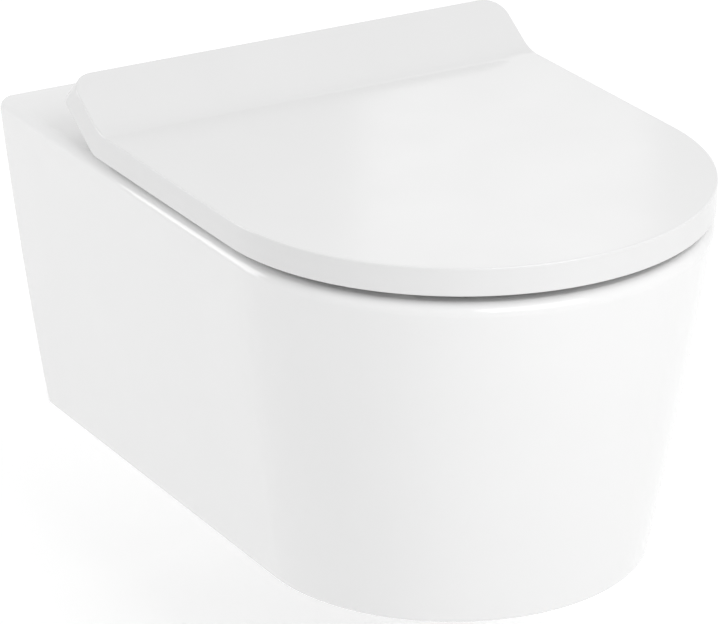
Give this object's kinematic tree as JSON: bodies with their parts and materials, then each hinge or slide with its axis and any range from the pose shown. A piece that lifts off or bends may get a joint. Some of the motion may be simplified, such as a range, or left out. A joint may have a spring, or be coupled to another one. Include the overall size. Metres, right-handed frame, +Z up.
{
  "type": "wall hung toilet",
  "caption": "Shrouded wall hung washdown toilet with a rimless bowl, horizontal outlet, rear flush inlet, seat ring and a wrap-over lid with a raised back.",
  "frame": {"origin": "on the wall plane, midway between the two wall bolts", "axes": "+X across the pan, +Y into the wall, +Z up; the bowl's nose points to -Y"},
  "size_m": [0.357, 0.5387, 0.3069],
  "materials": {
    "vitreous_china": "smooth clear glaze over white vitreous china",
    "white_duroplast": "polished white thermoset",
    "chrome_cap": "bright chrome plating",
    "stainless_steel": "turned stainless steel",
    "spring_wire": "drawn spring wire",
    "cast_zinc": "bare zinc die casting",
    "zinc_plated_steel": "zinc plated",
    "white_rubber": "soft white elastomer",
    "grey_rubber": "expanding rubber bush",
    "white_plastic": "moulded white plastic",
    "grey_plastic": "moulded glass-filled plastic"
  },
  "bodies": {
    "pan": {"pan_deck": "vitreous_china", "pan_foot": "vitreous_china", "pan_bowl": "vitreous_china", "pan_inlet": "vitreous_china", "pan_duct": "vitreous_china", "pan_spigot": "vitreous_china", "pan_trapway": "vitreous_china", "pan_back": "vitreous_china", "pan_nose": "vitreous_china", "pan_skirt_left": "vitreous_china", "pan_skirt_right": "vitreous_china", "flush_distributor": "white_plastic", "fixing_screws": "zinc_plated_steel", "stud_sleeve_left": "white_plastic", "fixing_clamp_left": "cast_zinc", "hinge_bush_left": "grey_rubber", "hinge_nut_left": "grey_plastic", "hinge_gasket_left": "white_rubber", "hinge_rosette_left": "chrome_cap", "hinge_post_left": "stainless_steel", "hinge_bolt_left": "stainless_steel", "stud_sleeve_right": "white_plastic", "fixing_clamp_right": "cast_zinc", "hinge_bush_right": "grey_rubber", "hinge_nut_right": "grey_plastic", "hinge_gasket_right": "white_rubber", "hinge_rosette_right": "chrome_cap", "hinge_post_right": "stainless_steel", "hinge_bolt_right": "stainless_steel"},
    "hinge_carrier": {"hinge_block_left": "chrome_cap", "hinge_block_right": "chrome_cap", "lock_spring_left": "spring_wire", "lock_spring_right": "spring_wire", "seat_damper_shaft": "stainless_steel", "lid_pin_left": "stainless_steel", "seat_pin_right": "stainless_steel", "lid_damper_shaft": "stainless_steel"},
    "seat": {"seat_ring": "white_duroplast", "seat_damper": "grey_plastic", "seat_pin_bush": "white_plastic", "seat_bumpers": "white_rubber"},
    "lid": {"lid_shell": "white_duroplast", "lid_damper": "grey_plastic", "lid_pin_bush": "white_plastic", "lid_bumpers": "white_rubber"},
    "button_left": {"release_button_left": "white_plastic"},
    "button_right": {"release_button_right": "white_plastic"}
  },
  "joints": [
    {"name": "seat_lift_off", "type": "slide", "parent": "pan", "child": "hinge_carrier", "axis": [0, 0, 1], "range_m": [0, 0.026]},
    {"name": "seat_hinge", "type": "hinge", "parent": "hinge_carrier", "child": "seat", "pos_m": [0, -0.125, 0.101], "axis": [1, 0, 0], "range_deg": [-95, 0]},
    {"name": "lid_hinge", "type": "hinge", "parent": "seat", "child": "lid", "pos_m": [0, -0.125, 0.101], "axis": [-1, 0, 0], "range_deg": [0, 100]},
    {"name": "release_button_left", "type": "slide", "parent": "hinge_carrier", "child": "button_left", "axis": [0, -1, 0], "range_m": [0, 0.003], "stiffness_N_per_m": 2500, "springref_m": -0.001, "deforming": ["lock_spring_left"]},
    {"name": "release_button_right", "type": "slide", "parent": "hinge_carrier", "child": "button_right", "axis": [0, -1, 0], "range_m": [0, 0.003], "stiffness_N_per_m": 2500, "springref_m": -0.001, "deforming": ["lock_spring_right"]}
  ]
}
